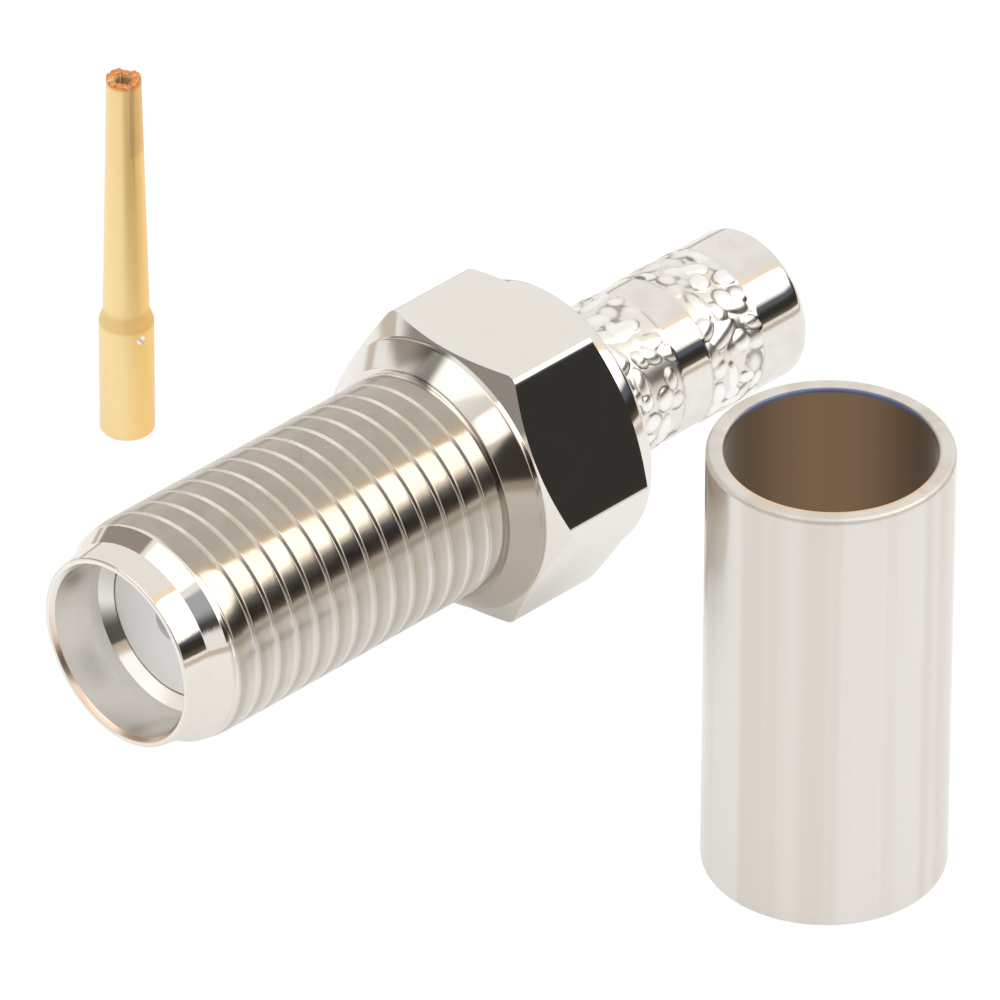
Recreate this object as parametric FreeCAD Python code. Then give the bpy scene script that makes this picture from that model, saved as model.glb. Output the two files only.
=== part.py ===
import FreeCAD, Part
import math
import os

# A crimp jack for thin coaxial cable, laid out as a set of loose pieces: the turned
# body lies on one flat of its hexagon, and the centre contact and the crimp ferrule
# stand on their ends beside it. Millimetres, +Z up. The origin is the centre of the
# reference plane, the shoulder inside the mouth where a mating plug seats, and +X
# points out of the mouth along the body's axis.

# Driving dimensions of the mating end
thread_diameter = 6.35        # quarter inch coupling thread, drawn at its crest
mouth_depth = 1.9             # from the mouth's face back to the reference plane
plug_bore_diameter = 4.8
lead_in_chamfer = 0.22
mouth_rim = 0.08              # flat rim left round the lead in
nose_cone_rise = 0.29
nose_cone_length = 0.68
nose_length = 1.9
threaded_length = 9.3         # from the nose to the collar

# Driving dimensions of the hexagon and its round collars
across_flats = 7.94           # five sixteenths of an inch
hexagon_length = 3.55
corner_chamfer_angle = 30.0
front_collar_length = 0.75
rear_collar_length = 0.5
collar_clearance = 0.05       # the collar's rim stays this far inside the flats
collar_chamfer = 0.2
hexagon_corner_round = 0.25

# Driving dimensions of the crimp barrel
barrel_length = 7.65
barrel_diameter = 4.36        # the smooth waist and lip
knurl_height = 0.1            # crests of the knurl stand this far out of the barrel
front_knurl_length = 2.85
waist_length = 1.1
rear_knurl_length = 1.95
barrel_end_round = 0.5
knurl_count = 20              # diamonds round the barrel
knurl_rows = 5                # rows of diamonds in a band

# Driving dimensions of the insulator and the cable bore
insulator_diameter = 4.13
insulator_length = 10.0
insulator_lip_length = 0.25   # stops the contact just short of the reference plane
pin_entry_diameter = 1.0      # a mating pin passes the lip here
press_clearance = 0.02        # all round the insulator in its bore
cable_bore_diameter = 3.1
cable_bore_chamfer = 0.1

# Driving dimensions of the centre contact
contact_tip_diameter = 0.94
contact_shank_diameter = 1.27
contact_shank_length = 7.6
cup_diameter = 1.5
cup_length = 3.85
cup_ramp_length = 0.3
cup_wall = 0.25
cup_bore_depth = 3.5
cup_end_chamfer = 0.12
tine_tip_wall = 0.16
tine_root_wall = 0.1
socket_depth = 2.9
slot_width = 0.1
slot_length = 2.4
tine_count = 4
slot_angle = 67.0             # the first slot, anticlockwise from +X seen from above
sight_hole_diameter = 0.26
sight_hole_count = 3
sight_hole_angle = 79.0
contact_clearance = 0.02      # all round the contact in the insulator

# Driving dimensions of the crimp ferrule
ferrule_inner_diameter = 5.5
ferrule_wall = 0.48
ferrule_length = 12.83
ferrule_outer_round = 0.3
ferrule_inner_chamfer = 0.12

# Where the loose pieces stand beside the body
contact_place = (-9.5, -11.6)
ferrule_place = (-8.9, 15.4)

# Places along the body's axis, worked out from the sizes above
floor = -across_flats / 2
mouth = mouth_depth
nose_end = mouth - nose_length
collar_front = nose_end - threaded_length
hexagon_front = collar_front - front_collar_length
hexagon_rear = hexagon_front - hexagon_length
collar_rear = hexagon_rear - rear_collar_length
barrel_end = collar_rear - barrel_length
insulator_seat = -insulator_length


def point(x, r):
    """A point of an outline in the plane through the X axis."""
    return FreeCAD.Vector(x, 0, r)


def line(a, b):
    return Part.LineSegment(a, b).toShape()


def arc(a, middle, b):
    return Part.Arc(a, middle, b).toShape()


def turned(edges, axis=FreeCAD.Vector(1, 0, 0)):
    """The solid that a closed outline sweeps in a full turn about an axis."""
    face = Part.Face(Part.Wire(edges))
    return face.revolve(FreeCAD.Vector(0, 0, 0), axis, 360)


def outline(points):
    """Straight edges through the points, closed back to the first."""
    return [line(a, b) for a, b in zip(points, points[1:] + points[:1])]


def rounded_end(x, r, radius):
    """The arc that rounds an outer corner at (x, r), from the side to the end face."""
    inset = radius * (1 - math.sqrt(0.5))
    return arc(point(x + radius, r), point(x + inset, r - inset), point(x, r - radius))


def nose_and_thread():
    """The tapered nose and the coupling thread's cylinder, back to the collar."""
    face_r = plug_bore_diameter / 2 + lead_in_chamfer + mouth_rim
    edge_r = face_r + nose_cone_rise
    thread_r = thread_diameter / 2
    overlap = front_collar_length / 2
    return turned(outline([
        point(mouth, 0),
        point(mouth, face_r),
        point(mouth - nose_cone_length, edge_r),
        point(nose_end, thread_r),
        point(collar_front - overlap, thread_r),
        point(collar_front - overlap, 0),
    ]))


def hexagon():
    """The spanner hexagon: bar stock cut by a turned outline with a collar at each end."""
    collar_r = across_flats / 2 - collar_clearance
    corner_r = across_flats / math.sqrt(3)
    chamfer = (corner_r - collar_r) * math.tan(math.radians(corner_chamfer_angle))
    envelope = turned(outline([
        point(collar_front, 0),
        point(collar_front, collar_r - collar_chamfer),
        point(collar_front - collar_chamfer, collar_r),
        point(hexagon_front, collar_r),
        point(hexagon_front - chamfer, corner_r),
        point(hexagon_rear + chamfer, corner_r),
        point(hexagon_rear, collar_r),
        point(collar_rear + collar_chamfer, collar_r),
        point(collar_rear, collar_r - collar_chamfer),
        point(collar_rear, 0),
    ]))
    corners = []
    for k in range(6):
        angle = math.radians(60 * k)
        corners.append(FreeCAD.Vector(collar_rear, corner_r * math.cos(angle),
                                      corner_r * math.sin(angle)))
    bar = Part.Face(Part.makePolygon(corners + corners[:1]))
    bar = bar.extrude(FreeCAD.Vector(collar_front - collar_rear, 0, 0))
    edges = [e for e in bar.Edges if abs(e.Vertexes[0].X - e.Vertexes[1].X) > hexagon_length]
    bar = bar.makeFillet(hexagon_corner_round, edges)
    return bar.common(envelope)


def barrel():
    """The smooth crimp barrel behind the hexagon, with a rounded end."""
    barrel_r = barrel_diameter / 2
    wall = barrel_r - cable_bore_diameter / 2
    end_round = min(barrel_end_round, wall - cable_bore_chamfer)
    start = collar_rear + rear_collar_length / 2
    return turned([
        line(point(start, 0), point(start, barrel_r)),
        line(point(start, barrel_r), point(barrel_end + end_round, barrel_r)),
        rounded_end(barrel_end, barrel_r, end_round),
        line(point(barrel_end, barrel_r - end_round), point(barrel_end, 0)),
        line(point(barrel_end, 0), point(start, 0)),
    ])


def knurl_point(start, pitch, row, step, height):
    """A point of the knurl: row counts half diamonds along the axis, step round it."""
    angle = math.pi * step / knurl_count
    r = barrel_diameter / 2 / math.cos(math.pi / knurl_count) + height
    return FreeCAD.Vector(start - row * pitch / 2, r * math.cos(angle), r * math.sin(angle))


def knurled_band(start, length):
    """A band of diamond points that two crossing sets of helical grooves leave."""
    pitch = length / knurl_rows
    faces = []
    last = 2 * knurl_rows

    def corner(row, step, height=0.0):
        return knurl_point(start, pitch, row, step, height)

    def add(*points):
        faces.append(Part.Face(Part.makePolygon(list(points) + [points[0]])))

    for row in range(last + 1):
        for step in range(row % 2, 2 * knurl_count, 2):
            peak = corner(row, step, knurl_height)
            left = corner(row, step - 1)
            right = corner(row, step + 1)
            if row < last:
                add(peak, corner(row + 1, step), left)
                add(peak, right, corner(row + 1, step))
            if row > 0:
                add(peak, left, corner(row - 1, step))
                add(peak, corner(row - 1, step), right)
    for row in (0, last):
        ring = []
        for step in range(2 * knurl_count):
            height = knurl_height if (step - row) % 2 == 0 else 0.0
            ring.append(corner(row, step, height))
        faces.append(Part.Face(Part.makePolygon(ring + ring[:1])))
    shell = Part.makeShell(faces)
    shell.sewShape()
    return Part.makeSolid(Part.Shell(shell.Faces))


def body_bores():
    """Everything bored out of the body: mouth, insulator seat and cable bore."""
    plug_r = plug_bore_diameter / 2
    seat_r = insulator_diameter / 2 + press_clearance
    cable_r = cable_bore_diameter / 2
    return turned(outline([
        point(mouth, 0),
        point(mouth, plug_r + lead_in_chamfer),
        point(mouth - lead_in_chamfer, plug_r),
        point(0, plug_r),
        point(0, seat_r),
        point(insulator_seat, seat_r),
        point(insulator_seat, cable_r),
        point(barrel_end + cable_bore_chamfer, cable_r),
        point(barrel_end, cable_r + cable_bore_chamfer),
        point(barrel_end, 0),
    ]))


def connector_body():
    """The one turned piece: nose, thread, hexagon and knurled crimp barrel."""
    solid = nose_and_thread().fuse(hexagon())
    solid = solid.fuse(barrel())
    solid = solid.fuse(knurled_band(collar_rear, front_knurl_length))
    rear_start = collar_rear - front_knurl_length - waist_length
    solid = solid.fuse(knurled_band(rear_start, rear_knurl_length))
    return solid.cut(body_bores())


def insulator():
    """The plastic bush that holds the contact: its face is flush with the plane."""
    outer_r = insulator_diameter / 2
    entry_r = pin_entry_diameter / 2
    shank_r = contact_shank_diameter / 2 + contact_clearance
    cup_r = cup_diameter / 2 + contact_clearance
    lip = -insulator_lip_length
    step = lip - contact_shank_length
    return turned(outline([
        point(0, entry_r),
        point(0, outer_r),
        point(insulator_seat, outer_r),
        point(insulator_seat, cup_r),
        point(step, cup_r),
        point(step, shank_r),
        point(lip, shank_r),
        point(lip, entry_r),
    ]))


def standing(shape, place):
    """Turns a piece drawn along the X axis upright and stands it on the floor."""
    shape.rotate(FreeCAD.Vector(0, 0, 0), FreeCAD.Vector(0, 1, 0), -90)
    shape.translate(FreeCAD.Vector(place[0], place[1], floor))
    return shape


def contact_blank():
    """The contact's turned outside, drawn from its cup's end at x = 0 to its tip."""
    cup_r = cup_diameter / 2
    tip = cup_length + contact_shank_length
    return turned(outline([
        point(0, 0),
        point(0, cup_r - cup_end_chamfer),
        point(cup_end_chamfer, cup_r),
        point(cup_length - cup_ramp_length, cup_r),
        point(cup_length, contact_shank_diameter / 2),
        point(tip, contact_tip_diameter / 2),
        point(tip, 0),
    ]))


def contact_bores():
    """The solder cup at one end and the tapered socket between the tines."""
    cup_r = cup_diameter / 2 - cup_wall
    tip = cup_length + contact_shank_length
    taper = (contact_shank_diameter - contact_tip_diameter) / 2 / contact_shank_length
    tip_r = contact_tip_diameter / 2
    root_r = tip_r + taper * socket_depth
    cup = turned(outline([
        point(0, 0),
        point(0, cup_r),
        point(cup_bore_depth, cup_r),
        point(cup_bore_depth, 0),
    ]))
    socket = turned(outline([
        point(tip, 0),
        point(tip, tip_r - tine_tip_wall),
        point(tip - socket_depth, root_r - tine_root_wall),
        point(tip - socket_depth, 0),
    ]))
    return cup.fuse(socket)


def radial_cuts(cutter, count, first_angle):
    """Copies of a cutter turned round the X axis in equal steps."""
    copies = []
    for k in range(count):
        copy = cutter.copy()
        copy.rotate(FreeCAD.Vector(0, 0, 0), FreeCAD.Vector(1, 0, 0),
                    first_angle + 360 * k / count)
        copies.append(copy)
    return copies


def centre_contact():
    """The slotted female contact, standing on its solder cup."""
    tip = cup_length + contact_shank_length
    # The cutters point along -Z, which is +X once the contact stands.
    slot = Part.makeBox(slot_length, slot_width, cup_diameter)
    slot.translate(FreeCAD.Vector(tip - slot_length, -slot_width / 2, -cup_diameter))
    hole_place = FreeCAD.Vector(cup_bore_depth - sight_hole_diameter, 0, 0)
    hole = Part.makeCylinder(sight_hole_diameter / 2, cup_diameter, hole_place,
                             FreeCAD.Vector(0, 0, -1))
    solid = contact_blank().cut(contact_bores())
    for cutter in radial_cuts(slot, tine_count, slot_angle):
        solid = solid.cut(cutter)
    for cutter in radial_cuts(hole, sight_hole_count, sight_hole_angle):
        solid = solid.cut(cutter)
    return standing(solid, contact_place)


def crimp_ferrule():
    """The plain crimp sleeve, with rounded rims, standing on one end."""
    inner_r = ferrule_inner_diameter / 2
    outer_r = inner_r + ferrule_wall
    chamfer = ferrule_inner_chamfer
    rim_round = min(ferrule_outer_round, ferrule_wall - chamfer)
    half = ferrule_length / 2
    upper_half = turned([
        line(point(half, inner_r), point(chamfer, inner_r)),
        line(point(chamfer, inner_r), point(0, inner_r + chamfer)),
        line(point(0, inner_r + chamfer), point(0, outer_r - rim_round)),
        rounded_end(0, outer_r, rim_round),
        line(point(rim_round, outer_r), point(half, outer_r)),
        line(point(half, outer_r), point(half, inner_r)),
    ])
    middle = FreeCAD.Vector(half, 0, 0)
    lower_half = upper_half.mirror(middle, FreeCAD.Vector(1, 0, 0))
    return standing(upper_half.fuse(lower_half).removeSplitter(), ferrule_place)


pieces = {
    "connector_body": connector_body(),
    "insulator": insulator(),
    "centre_contact": centre_contact(),
    "crimp_ferrule": crimp_ferrule(),
}

os.makedirs("parts", exist_ok=True)
for name, shape in pieces.items():
    solid = shape.Solids[0]
    print(name, "valid", solid.isValid(), "solids", len(shape.Solids), "volume", round(solid.Volume, 3))
    solid.exportStep("parts/" + name + ".step")
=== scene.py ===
# %% [markdown]
# # A crimp jack and its two loose pieces
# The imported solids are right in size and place, and plain. This notebook dresses
# them. The turned body gets a real helical thread, bevelled spanner flats and a
# pebbled knurl. The contact gets its slots, the sleeve its rounded rims, and each
# metal its own finish. Lengths are written in millimetres: a mesh turns them into
# metres when it is made, and a finish turns its places into millimetres.

import math

import bmesh
import bpy
import numpy as np
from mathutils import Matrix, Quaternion, Vector


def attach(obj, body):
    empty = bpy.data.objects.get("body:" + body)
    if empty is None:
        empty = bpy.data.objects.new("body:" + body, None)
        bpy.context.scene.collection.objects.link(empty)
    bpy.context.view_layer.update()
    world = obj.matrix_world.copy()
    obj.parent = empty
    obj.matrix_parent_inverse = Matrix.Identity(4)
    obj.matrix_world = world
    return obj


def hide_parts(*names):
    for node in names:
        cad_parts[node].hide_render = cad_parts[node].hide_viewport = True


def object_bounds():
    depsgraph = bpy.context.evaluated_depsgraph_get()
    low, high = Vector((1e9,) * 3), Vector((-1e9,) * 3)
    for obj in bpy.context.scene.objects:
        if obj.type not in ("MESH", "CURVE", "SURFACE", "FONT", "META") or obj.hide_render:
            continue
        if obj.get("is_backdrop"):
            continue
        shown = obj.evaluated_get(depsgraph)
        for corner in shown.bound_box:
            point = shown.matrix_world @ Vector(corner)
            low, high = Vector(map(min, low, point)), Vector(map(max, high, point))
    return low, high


MM = 0.001    # a millimetre in metres

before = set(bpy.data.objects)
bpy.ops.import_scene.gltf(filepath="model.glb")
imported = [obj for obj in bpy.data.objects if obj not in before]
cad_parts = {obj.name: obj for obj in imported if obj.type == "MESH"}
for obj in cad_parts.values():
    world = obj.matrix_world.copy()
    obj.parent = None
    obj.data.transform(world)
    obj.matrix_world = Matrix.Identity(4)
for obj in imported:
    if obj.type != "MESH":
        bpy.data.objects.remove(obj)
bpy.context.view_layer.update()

# %% [markdown]
# ## The camera
# The photograph was taken with a long lens from above and in front of the mouth,
# so the lines along the body stay almost parallel. A camera is set by the point
# that it looks at, the way back to it, its distance and a slight roll. They were
# fitted to the corners and rims that the photograph shows.

# %% Camera
look_at = Vector((-14.264, -2.067, -3.97)) * MM
way_back = Vector((0.5793, 0.5834, 0.5691)).normalized()
camera_distance = 450 * MM
camera_roll = math.radians(0.27)
sensor_width = 36.0
lens_per_sensor_width = 16.7217

scene = bpy.context.scene
camera = bpy.data.objects.new("camera", bpy.data.cameras.new("camera"))
scene.collection.objects.link(camera)
scene.camera = camera
camera.location = look_at + way_back * camera_distance
camera.rotation_mode = "QUATERNION"
aim = (-way_back).to_track_quat("-Z", "Y")
camera.rotation_quaternion = aim @ Quaternion((0, 0, 1), camera_roll)
camera.data.sensor_width = sensor_width
camera.data.lens = lens_per_sensor_width * sensor_width
camera.data.clip_start = 0.01
camera.data.clip_end = 10.0
scene.view_settings.view_transform = "Standard"
print("lens in mm:", round(camera.data.lens, 1))

# %% [markdown]
# ## Turned forms
# Nearly everything here comes off a lathe, so a piece is a chain of rings. A ring
# has its place along the axis, its radius, and as many points as there are columns
# round the piece. Places along the axis, called s, are counted backwards from the
# mouth's face. Two methods do most of the work: one adds a ring, one joins two
# rings with faces.

# %% Rings and bands
mouth_depth = 1.9    # the mouth's face lies this far in front of the frame's origin
default_columns = 288


class Lathe:
    """Collects rings of points and the faces between them, in millimetres."""

    def __init__(self, columns=default_columns):
        self.columns = columns
        self.turn = np.arange(columns) * 2 * math.pi / columns
        self.points = []
        self.faces = []

    def ring(self, s, r):
        """A ring s behind the mouth's face; s and r are numbers or one per column."""
        s = np.broadcast_to(np.asarray(s, float), (self.columns,))
        r = np.broadcast_to(np.asarray(r, float), (self.columns,))
        first = len(self.points)
        self.points.extend(zip(mouth_depth - s, r * np.sin(self.turn), r * np.cos(self.turn)))
        return np.arange(first, first + self.columns)

    def middle(self, s):
        """One point on the axis, for the closed end of a blind hole."""
        self.points.append((mouth_depth - s, 0.0, 0.0))
        return len(self.points) - 1

    def join(self, a, b):
        """Faces from ring a to ring b, either of which may be a middle point."""
        for j in range(self.columns):
            k = (j + 1) % self.columns
            if isinstance(a, int):
                self.faces.append((a, b[j], b[k]))
            elif isinstance(b, int):
                self.faces.append((a[j], b, a[k]))
            else:
                self.faces.append((a[j], b[j], b[k], a[k]))

    def chain(self, rings):
        """Faces from each ring to the next."""
        for a, b in zip(rings, rings[1:]):
            self.join(a, b)

    def turned(self, outline):
        """A ring for each point of an outline that ends where it begins, all joined."""
        rings = [self.ring(s, r) for s, r in outline[:-1]]
        self.chain(rings + [rings[0]])


print("a plain ring has", default_columns, "columns")

# %% [markdown]
# ## Rounded corners
# Perfectly sharp corners look like paper under studio light, while a real edge
# always catches a thin line of it. So each corner of an outline is given a radius
# and becomes a small arc before the outline is turned.

# %% Rounding an outline
nearly_straight = 1.5    # half of a corner's angle, in radians, above which it is left
side_share = 0.48        # how much of the shorter side an arc may take up


def rounded(outline, steps=5):
    """An outline of (s, r, radius) points with each corner turned into an arc."""
    made = []
    for i, (s, r, radius) in enumerate(outline):
        here = np.array((s, r))
        if radius == 0 or i in (0, len(outline) - 1):
            made.append(tuple(here))
            continue
        before = np.array(outline[i - 1][:2]) - here
        after = np.array(outline[i + 1][:2]) - here
        before_length, after_length = np.linalg.norm(before), np.linalg.norm(after)
        before, after = before / before_length, after / after_length
        half = math.acos(max(-1, min(1, float(before @ after)))) / 2
        if half > nearly_straight:
            made.append(tuple(here))
            continue
        back = min(radius / math.tan(half), side_share * before_length,
                   side_share * after_length)
        size = back * math.tan(half)
        bisector = (before + after) / np.linalg.norm(before + after)
        middle = here + bisector * size / math.sin(half)
        start, end = here + before * back - middle, here + after * back - middle
        sweep = math.pi - 2 * half
        for k in range(steps + 1):
            t = k / steps
            arm = start * math.sin((1 - t) * sweep) + end * math.sin(t * sweep)
            made.append(tuple(middle + arm / math.sin(sweep)))
    return made


square = [(0, 1, 0), (0, 2, 0.1), (1, 2, 0)]
print("a corner of", len(square), "points becomes", len(rounded(square)))

# %% [markdown]
# ## From points to a piece
# A piece is a closed mesh at the origin whose place is in its points. Its faces
# are shaded smooth, and edges that turn by more than a set angle stay crisp.

# %% Making a piece
weld_distance = 0.0002 * MM


def piece(name, points, faces, crisp):
    """A closed mesh object from points in millimetres, riding on the row's one body."""
    mesh = bpy.data.meshes.new(name)
    mesh.from_pydata([tuple(MM * c for c in p) for p in points], [],
                     [tuple(int(i) for i in f) for f in faces])
    shape = bmesh.new()
    shape.from_mesh(mesh)
    bmesh.ops.remove_doubles(shape, verts=shape.verts, dist=weld_distance)
    bmesh.ops.recalc_face_normals(shape, faces=shape.faces)
    open_edges = sum(1 for e in shape.edges if len(e.link_faces) != 2)
    shape.to_mesh(mesh)
    shape.free()
    mesh.shade_smooth()
    mesh.set_sharp_from_angle(angle=math.radians(crisp))
    made = bpy.data.objects.new(name, mesh)
    scene.collection.objects.link(made)
    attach(made, "root")
    print(name, "faces", len(mesh.polygons), "open edges", open_edges)
    return made


def smooth_step(low, high, value):
    """0 below low, 1 above high, and a smooth rise between them."""
    t = np.clip((value - low) / (high - low), 0, 1)
    return t * t * (3 - 2 * t)


# %% [markdown]
# ## The nose and the coupling thread
# The thread of the real jack is one groove cut in a helix. Copies of a ring would
# give closed grooves with no start, so the grid itself runs helically: each column
# starts a little further back than the one before it, and after a full turn a row
# meets the row one pitch on. A row then keeps its place in the groove, and the
# groove's section can have crisp and round parts just where it needs them. The
# crests are broad and flat, so that a highlight runs on over them, and the groove
# between them is narrow and shallow.

# %% Sizes of the front of the body
thread_pitch = 25.4 / 36
thread_radius = 3.175
thread_front, thread_rear = 1.28, 11.0
nose_radius = 3.09           # where the nose ends and the rise to the thread begins
nose_end, rise_end = 1.25, 1.75
groove_depth = 0.05
groove_run_in, groove_run_out = (1.3, 1.7), (10.55, 10.9)
# Place in one pitch, and how much of the groove's depth is cut there.
groove_section = [(0.00, 1.00), (0.03, 0.78), (0.06, 0.48), (0.09, 0.20), (0.115, 0.05),
                  (0.14, 0.005), (0.17, 0.0), (0.45, 0.0), (0.72, 0.0), (0.88, 0.0),
                  (0.905, 0.02), (0.93, 0.15), (0.955, 0.42), (0.98, 0.80)]


def crest_radius(s):
    """The outside that the thread is cut into: the last of the nose, then a cylinder."""
    return np.interp(s, [nose_end, rise_end, thread_rear + 1],
                     [nose_radius, thread_radius, thread_radius])


print("turns of the thread:", round((thread_rear - thread_front) / thread_pitch, 1))

# %% The helical grid
edge_gap = 0.004    # the least distance from an edge to the next row behind it


def add_thread(lathe, start, end):
    """The threaded outside between two plain rings, which it returns."""
    rows_per_turn = len(groove_section)
    turns = int(math.ceil((end - start) / thread_pitch)) + 2
    first_ring = lathe.ring(start, crest_radius(start))
    last_ring = lathe.ring(end, crest_radius(end))
    rows = []
    for i in range(turns * rows_per_turn):
        phase, cut_share = groove_section[i % rows_per_turn]
        pitches = i // rows_per_turn - 1 + phase + lathe.turn / (2 * math.pi)
        s = start + thread_pitch * pitches
        fade = smooth_step(*groove_run_in, s) * (1 - smooth_step(*groove_run_out, s))
        ring = lathe.ring(s, crest_radius(s) - groove_depth * cut_share * fade)
        ring = np.where(s <= start + edge_gap, first_ring, ring)
        rows.append(np.where(s >= end - edge_gap, last_ring, ring))
    for i in range(len(rows) - 1):
        for j in range(lathe.columns):
            if j + 1 < lathe.columns:
                far = (rows[i][j + 1], rows[i + 1][j + 1])
            else:
                on = min(i + rows_per_turn, len(rows) - 1)
                far = (rows[on][0], rows[min(on + 1, len(rows) - 1)][0])
            corners = [rows[i][j], rows[i + 1][j], far[1], far[0]]
            corners = [c for k, c in enumerate(corners) if c != corners[k - 1]]
            if len(corners) > 2:
                lathe.faces.append(tuple(corners))
    return first_ring, last_ring


# %% [markdown]
# ## Inside the mouth
# A mating plug slides into the mouth until it meets the shoulder round the bush.
# From the rim the bore narrows a little, and just before the shoulder it narrows
# more, in a short seat cone that guides the plug and shows as a bright ring. All of
# it is one outline, from the thread's rear end through the bore to its front end.

# %% Threaded nose
seat_front, seat_radius = 1.62, 2.105
plug_bore_radius, rim_bore_radius = 2.4, 2.46
mouth_radius, face_radius = 2.56, 2.70      # the flat ring of the mouth's face
rim_depth = 0.12             # of the lead into the bore
taper_end, taper_radius = 0.78, 2.82        # the front of the nose, before its cone
hidden_rear = 11.7           # inside the hexagon, out of sight

nose = Lathe()
thread_start, thread_end = add_thread(nose, thread_front, thread_rear)
nose_outline = rounded([
    (thread_rear, thread_radius, 0), (hidden_rear, thread_radius, 0),
    (hidden_rear, seat_radius, 0), (mouth_depth, seat_radius, 0.02),
    (seat_front, plug_bore_radius, 0.03), (rim_depth, rim_bore_radius, 0.05),
    (0.0, mouth_radius, 0.02), (0.0, face_radius, 0.05),
    (taper_end, taper_radius, 0.06), (nose_end, nose_radius, 0.05),
    (thread_front, float(crest_radius(thread_front)), 0),
])
rings = [nose.ring(s, r) for s, r in nose_outline[1:-1]]
nose.chain([thread_end] + rings + [thread_start])
threaded_nose = piece("threaded_nose", nose.points, nose.faces, crisp=50)

# %% [markdown]
# ## The spanner hexagon
# The hexagon was milled from round bar and its ends were turned, so each end of a
# flat meets a cone in a bulging curve. Cutting a prism with a cone by a boolean
# gives poor faces, so the curve is worked out: at each column the cone reaches the
# prism where the radius is the same. All columns then have the same rows, and the
# six long corners are rounded in the outline itself.

# %% Hexagon outline
collar_front, hexagon_front = 11.2, 11.95
hexagon_rear, collar_rear = 15.5, 16.0
flat_distance = 3.97
collar_radius = 3.92
collar_chamfer = 0.6
corner_round = 0.42
sixth = math.radians(60)


def hexagon_columns(flat_steps=14, arc_steps=8):
    """Angle from +Z towards +Y and radius of each column, all the way round."""
    angles, radii = [], []

    def add(turn, out, across):
        angles.append(turn + math.atan2(across, out))
        radii.append(math.hypot(across, out))

    arc_middle = (flat_distance - corner_round) / math.cos(sixth / 2)
    half_flat = (flat_distance - corner_round) * math.tan(sixth / 2)
    for side in range(6):
        for k in range(flat_steps):
            add(sixth * side, flat_distance, half_flat * (2 * k / flat_steps - 1))
        for k in range(arc_steps):
            a = sixth * (k / arc_steps - 0.5)
            add(sixth * (side + 0.5), arc_middle + corner_round * math.cos(a),
                corner_round * math.sin(a))
    return np.array(angles), np.array(radii)


print("columns round the hexagon:", len(hexagon_columns()[0]))

# %% Hexagon and its collars
cable_radius = 1.55
recess_radius, recess_end = 2.12, 11.9      # round the bush's rear end
bore_start = 14.0                           # where the outline begins and ends
end_slope = math.tan(math.radians(30))      # of the cones at both ends of the flats

hexagon_turn, hexagon_radius = hexagon_columns()
hexagon = Lathe(len(hexagon_turn))
hexagon.turn = hexagon_turn
rings = [hexagon.ring(s, r) for s, r in rounded([
    (bore_start, cable_radius, 0), (recess_end, cable_radius, 0),
    (recess_end, recess_radius, 0), (collar_front, recess_radius, 0),
    (collar_front, collar_radius - collar_chamfer, 0.06),
    (collar_front + collar_chamfer, collar_radius, 0.1), (hexagon_front, collar_radius, 0)])]
rise = hexagon_radius - collar_radius
cone_shares = (0.0, 0.04, 0.5, 0.96, 1.0)
for share in cone_shares:
    s = hexagon_front + edge_gap + share * rise * end_slope
    rings.append(hexagon.ring(s, collar_radius + share * rise))
flat_front = hexagon_front + rise * end_slope
flat_rear = hexagon_rear - rise * end_slope
for share in (0.02, 0.25, 0.5, 0.75, 0.98):
    rings.append(hexagon.ring(flat_front + share * (flat_rear - flat_front), hexagon_radius))
for share in reversed(cone_shares):
    s = hexagon_rear - edge_gap - share * rise * end_slope
    rings.append(hexagon.ring(s, collar_radius + share * rise))
rings += [hexagon.ring(s, r) for s, r in rounded([
    (hexagon_rear, collar_radius, 0), (collar_rear, collar_radius, 0.2),
    (collar_rear, cable_radius, 0), (bore_start, cable_radius, 0)])[:-1]]
hexagon.chain(rings + [rings[0]])
spanner_hexagon = piece("spanner_hexagon", hexagon.points, hexagon.faces, crisp=25)

# %% [markdown]
# ## The knurled crimp barrel
# The braid of the cable is crushed onto this tube, so it is knurled to bite. After
# plating, the points of the knurl are round pebbles of uneven size. A regular
# pattern would look printed, so each pebble of a diamond grid is moved, stretched
# and raised a little by a seeded random number, and the surface takes the highest
# pebble at each point. The waist between the two bands and the end stay smooth.

# %% Pebble heights
knurl_radius = 2.2           # the pebbles are laid out on a cylinder of this radius
pebble_reach = 0.65          # no pebble reaches further than this from its middle
left_out = 0.12              # share of the pebbles that the plating swallowed
dome_power = 0.75            # below 1 gives a pebble a flatter top and steeper sides


def pebble_height(s, around, front, rear, rows, count, seed):
    """Height from 0 to 1 over a band of knurl; around is the distance round the barrel."""
    rng = np.random.default_rng(seed)
    girth = 2 * math.pi * knurl_radius
    height = np.zeros_like(s)
    for row in range(rows):
        middle = front + (rear - front) * (row + 0.5) / rows
        for k in range(count):
            at = girth * (k + 0.5 * (row % 2)) / count + rng.normal(0, 0.13)
            place = middle + rng.normal(0, 0.11)
            tilt = rng.normal(0.9, 0.6)
            long, short = rng.uniform(0.28, 0.58), rng.uniform(0.2, 0.36)
            top = rng.uniform(0.4, 1.0)
            if rng.random() < left_out:
                continue
            near = np.abs(s[:, 0] - place) < pebble_reach
            ds = s[near] - place
            da = (around[near] - at + girth / 2) % girth - girth / 2
            u = ds * math.cos(tilt) + da * math.sin(tilt)
            v = da * math.cos(tilt) - ds * math.sin(tilt)
            dome = 1 - (u / long) ** 2 - (v / short) ** 2
            dome = top * np.clip(dome, 0, 1) ** dome_power
            height[near] = np.maximum(height[near], dome)
    return height


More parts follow.
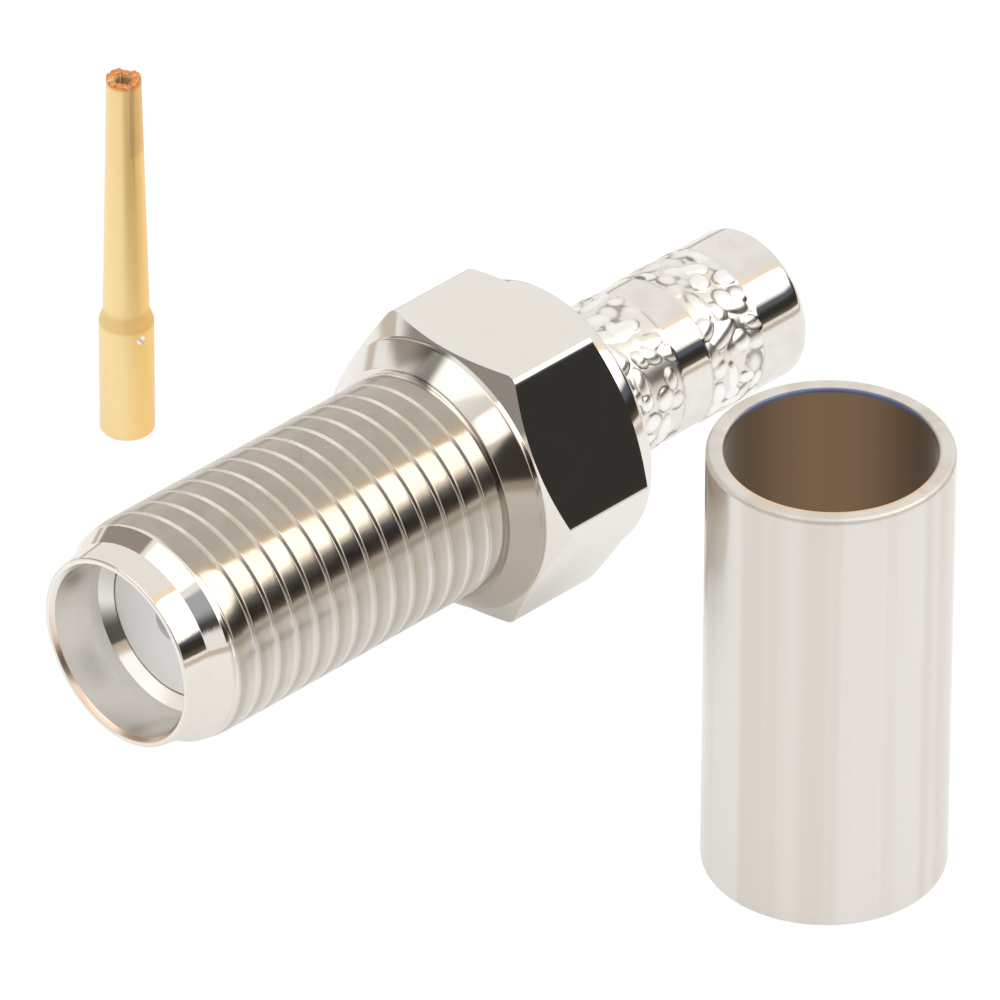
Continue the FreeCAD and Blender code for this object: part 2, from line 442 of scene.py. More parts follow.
# %% Barrel with its knurl
barrel_front, barrel_rear = 15.9, 23.65
barrel_radius = 2.18
knurl_base = 0.02            # the bands' valleys lie this far below the smooth barrel
knurl_rise = 0.1
end_start = 23.12            # where the smooth rounded end begins
row_step = 0.045

barrel = Lathe(320)
row_places = np.arange(barrel_front, end_start, row_step)
s_grid = np.repeat(row_places[:, None], barrel.columns, 1)
around_grid = np.repeat((barrel.turn * knurl_radius)[None, :], len(row_places), 0)
knurl = np.maximum(
    pebble_height(s_grid, around_grid, front=15.95, rear=18.9, rows=6, count=22, seed=11),
    pebble_height(s_grid, around_grid, front=20.0, rear=22.0, rows=4, count=22, seed=12))
in_band = np.maximum(
    smooth_step(15.9, 15.95, s_grid) - smooth_step(18.85, 18.95, s_grid),
    smooth_step(19.95, 20.05, s_grid) - smooth_step(21.9, 22.0, s_grid))
radius_grid = barrel_radius - knurl_base * in_band + knurl_rise * knurl * in_band
rings = [barrel.ring(s, r) for s, r in zip(s_grid, radius_grid)]
barrel_end = rounded([
    (end_start, barrel_radius, 0), (barrel_rear, barrel_radius, 0.48),
    (barrel_rear, cable_radius + 0.1, 0.02), (barrel_rear - 0.1, cable_radius, 0.02),
    (barrel_front, cable_radius, 0)], steps=8)
rings += [barrel.ring(s, r) for s, r in barrel_end[1:]]
barrel.chain(rings + [rings[0]])
knurled_barrel = piece("knurled_barrel", barrel.points, barrel.faces, crisp=60)

# %% [markdown]
# ## The plastic bush
# Inside the mouth a white bush fills the bore, flush with the shoulder. It is plain
# turned plastic with a stepped hole for the contact, so one outline turned is enough.

# %% Insulator bush
bush_radius, bush_length = 2.065, 10.0
pin_entry_radius, shank_bore_radius, cup_bore_radius = 0.5, 0.655, 0.77
bush_front = mouth_depth
bush_rear = bush_front + bush_length
entry_end, cup_bore_front = bush_front + 0.25, 9.75
bush_seam = 5.0              # where the outline begins and ends, on a straight wall

bush = Lathe()
bush.turned(rounded([
    (bush_seam, shank_bore_radius, 0), (entry_end, shank_bore_radius, 0),
    (entry_end, pin_entry_radius, 0), (bush_front, pin_entry_radius, 0.03),
    (bush_front, bush_radius, 0.04), (bush_rear, bush_radius, 0.04),
    (bush_rear, cup_bore_radius, 0), (cup_bore_front, cup_bore_radius, 0),
    (cup_bore_front, shank_bore_radius, 0), (bush_seam, shank_bore_radius, 0)]))
insulator_bush = piece("insulator_bush", bush.points, bush.faces, crisp=50)

# %% [markdown]
# ## Pieces that stand on their ends
# The sleeve and the contact were turned along the same axis as the body and then
# stood up. Their outlines are drawn along the axis as before, and one helper turns
# the points upright and moves them to their place on the floor.

# %% Standing a turned piece up
floor_height = -3.97


def stand(lathe, place):
    """The lathe's points, turned so that the distance along the axis is height."""
    lift = floor_height + mouth_depth
    return [(place[0] + z, place[1] + y, lift - x) for x, y, z in lathe.points]


print("floor at", floor_height, "mm")

# %% Crimp sleeve
sleeve_inner, sleeve_outer, sleeve_length = 2.75, 3.23, 12.83
sleeve_place = (-8.9, 15.4)
sleeve_inner_round, sleeve_outer_round = 0.13, 0.12
sleeve_seam = 6.4            # where the outline begins and ends, on a straight wall

sleeve = Lathe()
sleeve.turned(rounded([
    (sleeve_seam, sleeve_inner, 0), (0.0, sleeve_inner, sleeve_inner_round),
    (0.0, sleeve_outer, sleeve_outer_round),
    (sleeve_length, sleeve_outer, sleeve_outer_round),
    (sleeve_length, sleeve_inner, sleeve_inner_round), (sleeve_seam, sleeve_inner, 0)],
    steps=8))
crimp_sleeve = piece("crimp_sleeve", stand(sleeve, sleeve_place), sleeve.faces, crisp=60)

# %% [markdown]
# ## The centre contact
# The contact has a solder cup at its foot, a ramp, and a long shank that tapers to
# the tip, where four tines take a pin. The tip in the photograph is ragged, as if
# it was broken off and not turned, so its rim goes up and down by less than a tenth
# of a millimetre in a sum of three waves.

# %% Contact blank
contact_place = (-9.5, -11.6)
cup_depth, cup_bore, cup_radius = 3.5, 0.5, 0.75
shank_start, shank_radius = 3.85, 0.635
contact_height, tip_radius = 11.45, 0.47
socket_floor, socket_radius, socket_mouth_radius = 8.55, 0.433, 0.26
near_axis = 0.001            # the outline ends here, and a middle point closes it
ragged_zone = 0.15           # the part of the tip that goes up and down

contact = Lathe(160)
contact_outline = rounded([
    (cup_depth, near_axis, 0), (cup_depth, cup_bore, 0), (0.0, cup_bore, 0.03),
    (0.0, cup_radius, 0.1), (shank_start - 0.3, cup_radius, 0.2),
    (shank_start, shank_radius, 0.5), (contact_height, tip_radius, 0.05),
    (contact_height, socket_mouth_radius, 0.05), (socket_floor, socket_radius, 0),
    (socket_floor, near_axis, 0)])
ragged = (0.14 + 0.04 * np.sin(2 * contact.turn + 0.6)
          + 0.03 * np.sin(5 * contact.turn + 2.0) + 0.015 * np.sin(13 * contact.turn))
rings = [contact.ring(s - ragged * (s > contact_height - ragged_zone), r)
         for s, r in contact_outline[1:-1]]
contact.chain([contact.middle(cup_depth)] + rings + [contact.middle(socket_floor)])
slotted_contact = piece("slotted_contact", stand(contact, contact_place), contact.faces,
                        crisp=40)

# %% [markdown]
# ## Slots and sight holes
# The slots let the tines close on a pin, and the sight holes show that solder has
# filled the cup. Both are real cuts made by a saw or a drill, so a boolean is the
# honest way here. Each cutter is a simple closed mesh that is deleted afterwards.

# %% Cutting
def cut(target, points, faces):
    """Takes a closed cutter away from a piece and keeps the result as its mesh."""
    mesh = bpy.data.meshes.new("cutter")
    mesh.from_pydata([p * MM for p in points], [], faces)
    cutter = bpy.data.objects.new("cutter", mesh)
    scene.collection.objects.link(cutter)
    step = target.modifiers.new("cut", "BOOLEAN")
    step.operation = "DIFFERENCE"
    step.solver = "EXACT"
    step.object = cutter
    bpy.context.view_layer.update()
    evaluated = target.evaluated_get(bpy.context.evaluated_depsgraph_get())
    done = bpy.data.meshes.new_from_object(evaluated)
    target.modifiers.clear()
    target.data = done
    bpy.data.objects.remove(cutter)


def contact_axes(angle, height):
    """A point on the contact's axis, the level way out at an angle, and the way aside."""
    middle = Vector((*contact_place, floor_height + height))
    along = Vector((math.cos(angle), math.sin(angle), 0))
    return middle, along, Vector((-along.y, along.x, 0))


# %% Cutters
def cut_slot(angle, width, low, high):
    """Saws a slot right through the contact's axis, between two heights."""
    points = []
    for height in (low, high):
        middle, along, aside = contact_axes(angle, height)
        for end, side in ((-1, -1), (1, -1), (1, 1), (-1, 1)):
            points.append(middle + along * end + aside * (width / 2) * side)
    cut(slotted_contact, points, [(0, 3, 2, 1), (4, 5, 6, 7), (0, 1, 5, 4), (1, 2, 6, 5),
                                  (2, 3, 7, 6), (3, 0, 4, 7)])


def drill(angle, radius, height, steps=24):
    """Drills a level hole from the contact's axis outwards."""
    middle, along, aside = contact_axes(angle, height)
    points = []
    for far in (0.0, 1.2):
        for k in range(steps):
            a = 2 * math.pi * k / steps
            points.append(middle + along * far + aside * radius * math.cos(a)
                          + Vector((0, 0, radius * math.sin(a))))
    faces = [tuple(reversed(range(steps))), tuple(range(steps, 2 * steps))]
    faces += [(k, (k + 1) % steps, steps + (k + 1) % steps, steps + k) for k in range(steps)]
    cut(slotted_contact, points, faces)


# %% Cut the contact
slot_angle, sight_hole_angle = 67, 79
for angle in (slot_angle, slot_angle + 90):
    cut_slot(math.radians(angle), width=0.035, low=9.05, high=11.8)
for k in range(3):
    drill(math.radians(sight_hole_angle + 120 * k), radius=0.13, height=3.24)
slotted_contact.data.set_sharp_from_angle(angle=math.radians(40))
print("contact faces after the cuts:", len(slotted_contact.data.polygons))

# %% [markdown]
# ## Taking the solids' places
# Each dressed piece hides the imported solid that it stands for. The body is one
# turned part in reality and three pieces here, which overlap out of sight, so all
# three hide the same solid.

# %% Stand in for the solids
for made in (threaded_nose, spanner_hexagon, knurled_barrel):
    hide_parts("connector_body")
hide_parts("insulator")
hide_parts("centre_contact")
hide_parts("crimp_ferrule")

# %% [markdown]
# ## Writing a finish
# A finish is a small graph of nodes. Written node by node it is long, so a value in
# the graph is wrapped in a class whose operators add the Math nodes: 1 - mask reads
# like the sum that it is. Every other node comes from one method that sets its
# settings first and then its sockets.

# %% Values
class Value:
    """A number or colour that changes over a surface, as one socket of a graph."""

    def __init__(self, graph, socket):
        self.graph, self.socket = graph, socket

    def __add__(self, other):
        return self.graph.math("ADD", self, other)

    def __radd__(self, other):
        return self.graph.math("ADD", other, self)

    def __sub__(self, other):
        return self.graph.math("SUBTRACT", self, other)

    def __rsub__(self, other):
        return self.graph.math("SUBTRACT", other, self)

    def __mul__(self, other):
        return self.graph.math("MULTIPLY", self, other)

    def __rmul__(self, other):
        return self.graph.math("MULTIPLY", other, self)

    def __truediv__(self, other):
        return self.graph.math("DIVIDE", self, other)

    def __rtruediv__(self, other):
        return self.graph.math("DIVIDE", other, self)


# %% Graphs
class Graph:
    """A node tree that is filled through one method."""

    def __init__(self, tree):
        self.tree = tree
        tree.nodes.clear()

    def node(self, kind, settings=None, sockets=None):
        """Adds a node and returns a function that gives its output by name or number."""
        made = self.tree.nodes.new("ShaderNode" + kind)
        for name, setting in (settings or {}).items():
            setattr(made, name, setting)
        for name, value in (sockets or {}).items():
            if isinstance(value, Value):
                self.tree.links.new(value.socket, made.inputs[name])
            else:
                made.inputs[name].default_value = value
        return lambda output: Value(self, made.outputs[output])

    def math(self, operation, *terms):
        """One Math node."""
        return self.node("Math", {"operation": operation}, dict(enumerate(terms)))(0)

    def between(self, value, low, high):
        """0 below low, 1 above high, and a smooth rise between them."""
        return self.node("MapRange", {"interpolation_type": "SMOOTHSTEP"},
                         {"Value": value, "From Min": low, "From Max": high})("Result")

    def window(self, value, rise, fall):
        """1 from the end of rise to the start of fall, two pairs of numbers, and 0 beyond."""
        return self.between(value, *rise) * (1 - self.between(value, *fall))

    def mix(self, share, first, second):
        """A blend of two colours."""
        first = first if isinstance(first, Value) else (*first, 1.0)
        second = second if isinstance(second, Value) else (*second, 1.0)
        return self.node("Mix", {"data_type": "RGBA"}, {0: share, 6: first, 7: second})(2)

    def noise(self, waves, detail):
        """Noise over the piece's own coordinates; waves is their number in a millimetre."""
        place = self.node("TexCoord")("Object")
        return self.node("TexNoise", {}, {"Vector": place, "Scale": waves / MM,
                                          "Detail": detail})("Fac")

    def streaks(self, angle, waves, detail):
        """Noise that changes round an axis only, which gives bands along it."""
        return self.node("TexNoise", {"noise_dimensions": "1D"},
                         {"W": angle, "Scale": waves, "Detail": detail})("Fac")

    def place(self):
        """The x, y and z of a point in millimetres."""
        split = self.node("SeparateXYZ", {}, {0: self.node("TexCoord")("Object")})
        return [split(axis) / MM for axis in "XYZ"]

    def reach(self, a, b):
        """Distance from an axis, from the two places across it."""
        return self.math("SQRT", a * a + b * b)

    def angle(self, a, b):
        """Angle round an axis, from the way of b towards the way of a."""
        return self.math("ARCTAN2", a, b)


# %% Finishes
def finish_for(name, **constants):
    """A new material: its graph, and its shader with the constant sockets set."""
    material = bpy.data.materials.new(name)
    material.use_nodes = True
    graph = Graph(material.node_tree)
    shader = graph.tree.nodes.new("ShaderNodeBsdfPrincipled")
    output = graph.tree.nodes.new("ShaderNodeOutputMaterial")
    graph.tree.links.new(shader.outputs[0], output.inputs[0])
    for socket, value in constants.items():
        shader.inputs[socket].default_value = value
    print("finish", name)
    return material, graph, shader


def wire(graph, shader, **sockets):
    """Links values into a shader's sockets, with _ for the space in a socket's name."""
    for socket, value in sockets.items():
        graph.tree.links.new(value.socket, shader.inputs[socket.replace("_", " ")])


def wear(made, material):
    """Puts a material on a piece."""
    made.data.materials.clear()
    made.data.materials.append(material)


# %% [markdown]
# ## Nickel plating
# Bright nickel is a mirror with a warm cast. What makes it look real is that it is
# never quite even: the shade drifts over a millimetre or so. The milled flats are
# brightest. The lower side of the turned neck is painted dark as shade, in the same
# brown as the painted shade on the thread in front of it, and a painted dark
# reflection crosses the top of the neck. The flats underneath are painted a shade
# darker near the neck, as painted shade.

# %% Hexagon plating
flat_plating, graph, shader = finish_for("flat_plating", Metallic=1.0)
x, y, z = graph.place()
reach, angle = graph.reach(y, z), graph.angle(y, z)
patch = graph.between(graph.noise(1.1, 3), 0.25, 0.75)
neck = graph.between(x, -10.08, -10.02) * (1 - graph.between(reach, 3.93, 3.95))
# Painted shade on the neck's lower side.
painted_neck_shade = neck * graph.between(angle, 0.15, 1.0)
# Painted dark reflection across the top of the neck.
painted_neck_reflection = neck * graph.window(angle, (-0.3, 0.0), (0.03, 0.14))
# Painted shade on the flats underneath, near the neck.
painted_flat_shade = (1 - graph.between(z, -3.6, -0.8)) * graph.between(x, -13.6, -10.4)
colour = graph.mix(patch, (0.87, 0.845, 0.80), (0.85, 0.825, 0.78))
# The mixes from here paint shade on the lower flats and the neck's lower side, and a dark
# reflection across the neck.
colour = graph.mix(painted_flat_shade * 0.72, colour, (0.50, 0.455, 0.39))
colour = graph.mix(painted_neck_reflection * 0.95, colour, (0.14, 0.13, 0.115))
wire(graph, shader, Base_Color=graph.mix(painted_neck_shade * 0.85, colour, (0.42, 0.37, 0.30)),
     Roughness=patch * 0.03 + 0.055 + neck * 0.04)
wear(spanner_hexagon, flat_plating)

# %% [markdown]
# ## The thread's finish
# The cut thread is duller than the polished nose in front of it. Its lower half is
# painted brighter, with pale crescents and lines, as a painted reflection of the white
# floor, and part of each crest on the lower side is painted darker as shade. The
# flanks of the groove are painted pale, as painted highlights. Each of these is a mask
# worked out from the place of a point: how far along the axis it is, how far from the
# axis, and where in the helix, which is the distance along the axis less the part of
# a pitch that the angle makes up.

# %% Masks of the thread
thread_plating, graph, shader = finish_for("thread_plating", Metallic=1.0)
x, y, z = graph.place()
reach, angle = graph.reach(y, z), graph.angle(y, z)
pitches = (mouth_depth - thread_front - x) / thread_pitch - angle / (2 * math.pi)
helix = graph.math("FRACT", pitches)
groove_line = 1 - graph.between(graph.math("PINGPONG", helix, 0.5), 0.03, 0.10)
# Painted highlights: the flanks of the groove are painted pale.
rear_flank = graph.between(helix, 0.88, 0.93)
front_flank = 1 - graph.between(helix, 0.09, 0.13)
front_flank = front_flank * (1 - graph.between(angle, -0.1, 0.25))
# Painted reflection of the white floor: the lower half is painted brighter, most near the
# mouth.
low = 1 - graph.between(z, -0.6, 1.6)
near_mouth = graph.between(x, -9.0, 1.0)
# Painted reflection: pale crescents on the lower crests; the groove lines there are painted
# pale too.
painted_crescents = graph.between(helix, 0.66, 0.82) * low
# Painted shade on part of each crest on the lower side.
painted_crest_shade = graph.window(helix, (0.05, 0.12), (0.2, 0.55)) * graph.between(angle, 0.8, 1.2)
patch = graph.between(graph.noise(1.4, 4), 0.35, 0.65)
fine = graph.noise(9.0, 2)

# %% [markdown]
# The nose, the rim and the bore share the piece with the thread, so they have masks
# in the same graph. Use has worn the lower part of the rim down to the copper under
# the nickel and left a yellow stain on the seat cone inside, and beside the stain the
# seat cone is painted dark as shade.

# %% Masks of the mouth
polished = graph.between(x, 0.55, 0.66)
bore = 1 - graph.between(reach, 2.62, 2.66)
worn_rim = graph.between(x, 1.72, 1.84) * (1 - graph.between(reach, 2.56, 2.60))
worn_rim = worn_rim * (1 - graph.between(z, -1.2, 0.8))
seat_cone = graph.window(x, (-0.1, 0.0), (0.28, 0.30)) * bore
seat_cone = seat_cone * graph.between(reach, 2.09, 2.11)
# Painted shade on one side of the seat cone.
painted_seat_shade = seat_cone * graph.window(angle, (-2.28, -2.22), (-2.05, -1.65))
yellow_stain = seat_cone * graph.window(angle, (-2.42, -2.36), (-2.28, -2.22))

# %% Thread plating
colour = graph.mix(patch * 0.6 + fine * 0.4, (0.50, 0.45, 0.385), (0.43, 0.385, 0.325))
# Painted light: the floor's reflection on the lower half, shade on the lower crests,
# highlights on the flanks, and pale crescents and lines.
colour = graph.mix(low * (near_mouth * 0.5 + 0.5), colour, (0.74, 0.70, 0.64))
colour = graph.mix(painted_crest_shade * 0.5, colour, (0.42, 0.37, 0.30))
colour = graph.mix(rear_flank + front_flank, colour, (0.97, 0.955, 0.92))
colour = graph.mix(groove_line * low * 0.3 + painted_crescents * 0.75, colour, (0.86, 0.845, 0.81))
colour = graph.mix(polished, colour, (0.84, 0.80, 0.745))
colour = graph.mix(bore, colour, (0.935, 0.915, 0.88))
colour = graph.mix(worn_rim * 0.6, colour, (0.70, 0.40, 0.20))
# Painted shade on the seat cone.
colour = graph.mix(painted_seat_shade, colour, (0.20, 0.19, 0.17))
colour = graph.mix(yellow_stain * 0.7, colour, (0.70, 0.56, 0.36))
dull_flank = front_flank * (1 - polished) * (1 - bore)
roughness = patch * 0.05 * (1 - polished) + 0.13 - polished * 0.08 + bore * 0.22
bump = graph.node("Bump", {}, {"Height": fine, "Strength": 0.05, "Distance": 0.01 * MM})
wire(graph, shader, Base_Color=colour, Roughness=roughness + dull_flank * 0.4,
     Normal=bump("Normal"))
wear(threaded_nose, thread_plating)
print("nodes in the thread's finish:", len(graph.tree.nodes))

# %% [markdown]
# ## The barrel's finish
# Handling polishes the tops of the pebbles and leaves the valleys grey, so the shade
# follows the distance from the axis. A broken thin ring at the foot of the pebbles is
# painted dark, as painted shade in the crevices. The smooth waist and end are plain
# nickel.

# %% Barrel plating
barrel_plating, graph, shader = finish_for("barrel_plating", Metallic=1.0)
x, y, z = graph.place()
reach = graph.reach(y, z)
top = graph.between(reach, 2.18, 2.23)
# Painted shade in the crevices: a broken thin ring at the foot of the pebbles.
painted_crevice_shade = graph.window(reach, (2.161, 2.166), (2.18, 2.20))
painted_crevice_shade = painted_crevice_shade * graph.between(graph.noise(1.5, 2), 0.42, 0.56)
band = graph.between(x, -17.1, -16.9) + graph.window(x, (-20.1, -19.9), (-18.2, -18.0))
patch = graph.between(graph.noise(1.4, 4), 0.35, 0.65)
smooth = graph.mix(patch, (0.86, 0.835, 0.80), (0.80, 0.775, 0.735))
pebbled = graph.mix(top, (0.86, 0.83, 0.785), (0.99, 0.985, 0.97))
# Painted shade in the crevices.
pebbled = graph.mix(painted_crevice_shade, pebbled, (0.42, 0.395, 0.36))
wire(graph, shader, Base_Color=graph.mix(band, smooth, pebbled),
     Roughness=band * 0.17 + patch * 0.03 + 0.05)
wear(knurled_barrel, barrel_plating)

# %% [markdown]
# ## The sleeve's finish
# Faint bands along the sleeve's length are painted reflections of an unevenly lit
# floor: the shade changes with the angle round the axis and not with height. Its
# inside is brown with oxide, and painted darker towards two sides as shade. The inner
# edge of its upper rim has a painted warm highlight on the side towards the camera and
# painted blue shade on the other side. The sleeve is kept out of the mirror images on
# the body, because the pieces are shown as if each was alone; visible_glossy does that.

# %% Sleeve plating
sleeve_plating, graph, shader = finish_for("sleeve_plating", Metallic=1.0)
x, y, z = graph.place()
out_x, out_y = x - sleeve_place[0], y - sleeve_place[1]
reach, angle = graph.reach(out_x, out_y), graph.angle(out_y, out_x)
below_rim = floor_height + sleeve_length - z
# Painted reflection: faint bands that change with the angle round the axis.
bands = graph.between(graph.streaks(angle, 2.3, 2.5), 0.38, 0.62)
outside = graph.mix(bands, (0.80, 0.775, 0.74), (0.735, 0.69, 0.64))
inside = 1 - graph.between(reach, 2.76, 2.82)
# Painted shade: the brown oxide inside is painted darker towards two sides.
aside = graph.between(graph.math("ABSOLUTE", out_y - out_x), 0.6, 3.6)
oxide_and_painted_shade = graph.mix(aside, (0.24, 0.157, 0.093), (0.115, 0.075, 0.045))
lip = 1 - graph.between(below_rim, 0.10, 0.14)
lip = lip * (1 - graph.between(reach, 2.83, 2.96))
inner_lip = lip * (1 - graph.between(reach, 2.81, 2.85))
# Painted light on the rim's inner edge: a warm highlight on the side towards the camera and
# blue shade on the far side.
warm_highlight_side = graph.between(out_x + out_y, 0.5, 3.0)
blue_shade_side = 1 - graph.between(out_x + out_y, -3.0, -1.0)
colour = graph.mix(inside, outside, oxide_and_painted_shade)
# Painted warm highlight and painted blue shade on the rim's inner edge.
colour = graph.mix(lip * warm_highlight_side * 0.85, colour, (0.95, 0.66, 0.38))
colour = graph.mix(inner_lip * blue_shade_side * 0.85, colour, (0.11, 0.15, 0.28))
dull_rim = (1 - graph.between(below_rim, 0.11, 0.18)) * (1 - inside)
wire(graph, shader, Base_Color=colour,
     Roughness=bands * 0.04 + 0.16 + inside * 0.35 + dull_rim * 0.4)
wear(crimp_sleeve, sleeve_plating)
crimp_sleeve.visible_glossy = False

# %% [markdown]
# ## Gold and plastic
# The contact is gold over brass. Its ragged tip shows the redder metal under the
# plating, and the ramp above the cup is duller than the rest. The gold is painted
# lighter on one side and deeper on the other, as painted light, and one tine near the
# tip is painted darker as shade. The inside of the cup, the slots and the holes is
# painted dark as shade, apart from the hole in front, where a bright glint is painted.
# To find the inside, the distance from the axis is compared with the contact's own
# outside at that height. The contact too is kept out of the mirror images. The bush
# is a white fluoroplastic with a waxy gloss, and its white drifts a little.

# %% Masks of the contact
gold, graph, shader = finish_for("gold_plating", Metallic=1.0)
x, y, z = graph.place()
out_x, out_y = x - contact_place[0], y - contact_place[1]
reach, angle = graph.reach(out_x, out_y), graph.angle(out_y, out_x)
height = z - floor_height
shank_taper = 0.0217
tip = graph.between(height, 11.08, 11.26)
# Painted shade on one tine near the tip.
painted_tine_shade = graph.between(height, 8.9, 9.2) * graph.window(angle, (1.165, 1.175), (2.6, 2.8))
ramp = graph.window(height, (3.42, 3.5), (3.8, 4.1))
outside = shank_radius - (height - shank_start) * shank_taper
outside = outside + 0.1 * (1 - graph.between(height, 3.4, 3.5))
outside = graph.math("MINIMUM", outside, cup_radius)
# Painted shade: the inside of the cup, the slots and the holes is painted dark.
cavity = 1 - graph.between(reach / outside, 0.955, 0.985)
cavity = cavity * graph.between(height, 0.12, 0.2)
# Painted highlight: a bright glint in the hole in front.
painted_glint = graph.window(angle, (1.1, 1.15), (1.6, 1.65)) * (1 - graph.between(height, 3.5, 3.6))

# %% Gold plating
bands = graph.between(graph.streaks(angle + 4.0, 1.1, 1.0), 0.36, 0.62)
patch = graph.noise(0.9, 2)
# Painted light: the gold is lighter on one side and deeper on the other.
across = graph.between(out_y - out_x, -0.7, 0.8)
colour = graph.mix(across, (1.0, 0.85, 0.51), (0.97, 0.66, 0.24))
colour = graph.mix(bands * 0.35 + patch * 0.2, colour, (1.0, 0.68, 0.28))
# Painted shade on one tine, painted shade inside, and a painted glint in the front hole.
colour = graph.mix(painted_tine_shade * 0.55, colour, (0.72, 0.47, 0.19))
colour = graph.mix(tip, colour, (0.80, 0.34, 0.12))
colour = graph.mix(cavity * (1 - tip), colour, (0.30, 0.16, 0.06))
colour = graph.mix(cavity * painted_glint, colour, (1.0, 0.98, 0.93))
wire(graph, shader, Base_Color=colour,
     Roughness=patch * 0.05 + 0.33 + tip * 0.1 + ramp * 0.3)
wear(slotted_contact, gold)
slotted_contact.visible_glossy = False

# %% Fluoroplastic
plastic, graph, shader = finish_for("bush_plastic", Roughness=0.42, IOR=1.35)
cloud = graph.noise(0.7, 3)
wire(graph, shader, Base_Color=graph.mix(cloud, (0.99, 0.995, 1.0), (0.965, 0.97, 0.985)))
wear(insulator_bush, plastic)

# %% [markdown]
# ## The floor
# The pieces stand on white paper that is lit until it is white in the picture. Such
# paper is made here by giving the floor its white for rays from the camera and for
# reflections, and a little real shading under it, which keeps a soft shadow where
# the pieces touch the floor. A few centimetres away the paper gives way to a brown
# table, which only the reflections near the horizon show.

# %% Floor
floor_reach = 1000
paper_end, table_start = 40, 75
row_middle = -10             # x of the middle of the row of pieces

corners = [(-1, -1), (1, -1), (1, 1), (-1, 1)]
floor_mesh = bpy.data.meshes.new("floor")
floor_mesh.from_pydata([(a * floor_reach * MM, b * floor_reach * MM, floor_height * MM)
                        for a, b in corners], [], [(0, 1, 2, 3)])
floor = bpy.data.objects.new("floor", floor_mesh)
scene.collection.objects.link(floor)
floor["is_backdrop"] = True
print("floor reaches", floor_reach, "mm each way")

# %% White paper on a brown table
paper = bpy.data.materials.new("white_paper")
paper.use_nodes = True
graph = Graph(paper.node_tree)
ray = graph.node("LightPath")
x, y, z = graph.place()
away = graph.reach(x - row_middle, y)
on_table = graph.between(away, paper_end, table_start) * ray("Is Glossy Ray")
paint = graph.node("BsdfDiffuse", {}, {"Color": (0.86, 0.86, 0.86, 1.0)})("BSDF")
shown = graph.mix(on_table, (1.0, 1.0, 1.0), (0.42, 0.30, 0.20))
glow = graph.node("Emission", {}, {"Color": shown, "Strength": 1.04})("Emission")
seen = (ray("Is Camera Ray") * 0.95 + ray("Is Glossy Ray") * 0.6
        + ray("Is Transmission Ray") * 0.6)
surface = graph.node("MixShader", {}, {0: seen, 1: paint, 2: glow})("Shader")
graph.node("OutputMaterial", {}, {"Surface": surface})
wear(floor, paper)
print("nodes in the floor's finish:", len(graph.tree.nodes))

# %% [markdown]
# ## Studio light
# Polished metal shows the room, so the room is the light here. It is a pale tent
# with a large key lamp, a dark opening below it, a broad lamp overhead and a narrow
# slit of light in front. Three more openings, in front, low down and at the side,
# give the metal its greys. Each is a card in the sky, a polygon whose corners are
# set by their bearings. A card far away lights every piece alike and turns with
# nothing, so all views of the model agree.

# %% The sky
world = bpy.data.worlds.new("studio")
scene.world = world
world.use_nodes = True
sky = Graph(world.node_tree)
way = sky.node("TexCoord")("Generated")


def facing(direction):
    """How far a ray goes along a direction."""
    return sky.node("VectorMath", {"operation": "DOT_PRODUCT"},
                    {0: way, 1: tuple(direction)})("Value")


def bearing(azimuth, elevation):
    """The way to a point of the sky, in degrees from +X towards +Y and above the floor."""
    a, e = math.radians(azimuth), math.radians(elevation)
    return Vector((math.cos(a) * math.cos(e), math.sin(a) * math.cos(e), math.sin(e)))


def card(*sides):
    """1 inside a card and 0 off it.

    Each side is the azimuth and elevation of a corner, and how soft the edge is from
    there to the next corner. An edge is a plane through the middle of the room, and
    its softness is about the sine of half its width.
    """
    points = [bearing(azimuth, elevation) for azimuth, elevation, _ in sides]
    middle = sum(points, Vector())
    mask = 1.0
    for k, point in enumerate(points):
        inward = point.cross(points[(k + 1) % len(points)]).normalized()
        inward = inward if inward.dot(middle) > 0 else -inward
        soft = sides[k][2]
        mask = mask * sky.between(facing(inward), -soft, soft)
    return mask


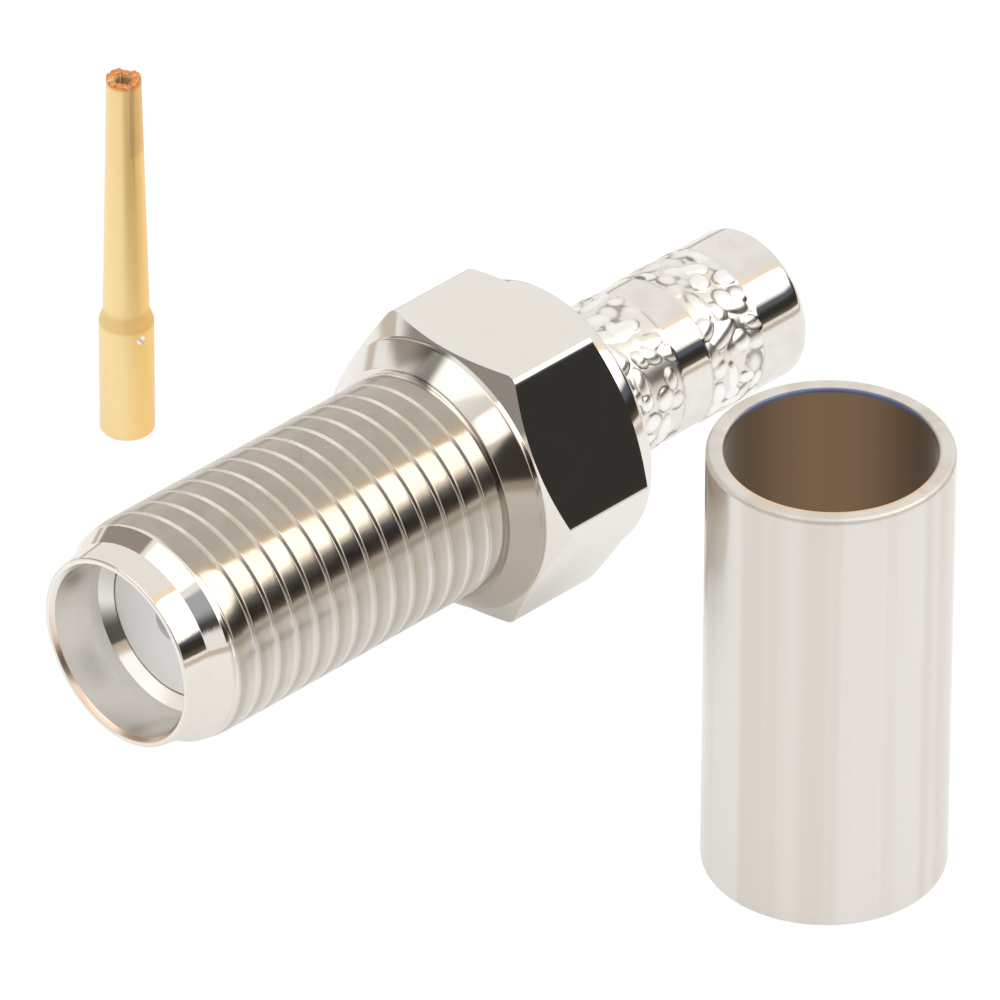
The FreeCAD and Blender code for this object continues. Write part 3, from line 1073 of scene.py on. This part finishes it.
# %% Lamps and openings
key_edge = card((165, 25, 0.05), (167, 37, 0.04), (113, 76, 0.05), (90, 53, 0.05),
                (96, 21, 0.06))
key_lamp = card((160, 27, 0.02), (162, 31, 0.015), (120, 67, 0.03), (95, 50, 0.03),
                (98, 24, 0.06))
dark_opening = card((172, 3, 0.03), (166, 21, 0.03), (98, 21, 0.04), (92, 3, 0.02))
top_lamp = card((-50, 30, 0.015), (-12, 38, 0.015), (38, 48, 0.02), (70, 74, 0.05),
                (-100, 76, 0.03))
slit_lamp = card((10, 33, 0.015), (18, 39, 0.015), (31, 28, 0.015), (23, 21, 0.015))
front_opening = card((25, 0, 0.03), (28, 21, 0.02), (46, 52, 0.03), (62, 50, 0.03),
                     (69, 24, 0.03), (62, 0, 0.03))
low_opening = card((-58, 1, 0.04), (-52, 10, 0.04), (-20, 20, 0.04), (12, 18, 0.04),
                   (14, 1, 0.03))
side_opening = card((-108, 3, 0.04), (-104, 50, 0.04), (-76, 58, 0.03), (-50, 36, 0.03),
                    (-64, 18, 0.04), (-88, 4, 0.04))
print("nodes that draw the cards:", len(sky.tree.nodes))

# %% Light the room
tent = (0.93, 0.915, 0.89)
height = facing((0, 0, 1))
dark = sky.mix(sky.between(height, 0.08, 0.18), (0.14, 0.095, 0.06), (0.036, 0.034, 0.030))
dark = sky.mix(sky.between(height, 0.26, 0.36), dark, (0.11, 0.125, 0.155))
front = sky.mix(sky.between(height, 0.4, 0.6), (0.07, 0.065, 0.06), (0.42, 0.45, 0.50))
light = sky.mix(side_opening, tent, (0.34, 0.30, 0.26))
light = sky.mix(low_opening, light, (0.30, 0.28, 0.26))
light = sky.mix(front_opening, light, front)
light = sky.mix(dark_opening, light, dark)
light = sky.mix(top_lamp, light, (1.45, 1.42, 1.36))
light = sky.mix(slit_lamp, light, (2.4, 2.3, 2.2))
light = sky.mix(key_edge, light, (1.05, 0.88, 0.68))
light = sky.mix(dark_opening * (1 - sky.between(height, 0.33, 0.36)), light, dark)
light = sky.mix(key_lamp, light, (3.0, 2.9, 2.7))
shown = sky.mix(sky.node("LightPath")("Is Camera Ray"), light, (1.0, 1.0, 1.0))
background = sky.node("Background", {}, {"Color": shown, "Strength": 1.0})("Background")
sky.node("OutputWorld", {}, {"Surface": background})
print("nodes in the sky:", len(sky.tree.nodes))

# %% [markdown]
# ## Sizes
# The box that the dressed pieces fill is printed in millimetres. The dressed pieces
# have to fill the same box as the imported solids.

# %% Sizes, and the end
low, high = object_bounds()
print("visual box in mm:", [round(v / MM, 2) for v in (*low, *high)])
